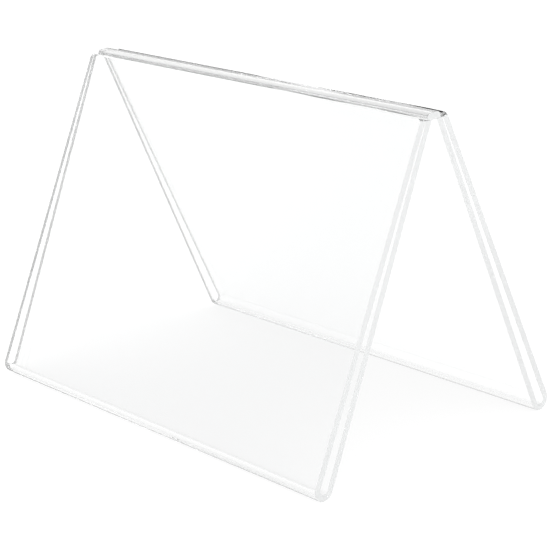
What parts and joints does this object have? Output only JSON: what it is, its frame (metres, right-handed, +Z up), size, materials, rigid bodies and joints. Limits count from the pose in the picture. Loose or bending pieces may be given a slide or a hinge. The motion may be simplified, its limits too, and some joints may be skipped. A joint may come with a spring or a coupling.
{
  "type": "sneeze guard",
  "caption": "Clear acrylic A-frame guard: folded double-walled panels meeting at a ridge bar, open at both ends, with a card pocket in each side.",
  "frame": {"origin": "on the counter, in the middle of the footprint, under the ridge", "axes": "+X along the ridge, +Y from the front panel to the rear panel, +Z up"},
  "size_m": [0.457, 0.2988, 0.31],
  "materials": {
    "panel_acrylic": "clear polished acrylic",
    "ridge_acrylic": "clear polished acrylic"
  },
  "bodies": {
    "root": {"front_panel": "panel_acrylic", "rear_panel": "panel_acrylic", "ridge_bar": "ridge_acrylic"}
  },
  "joints": []
}
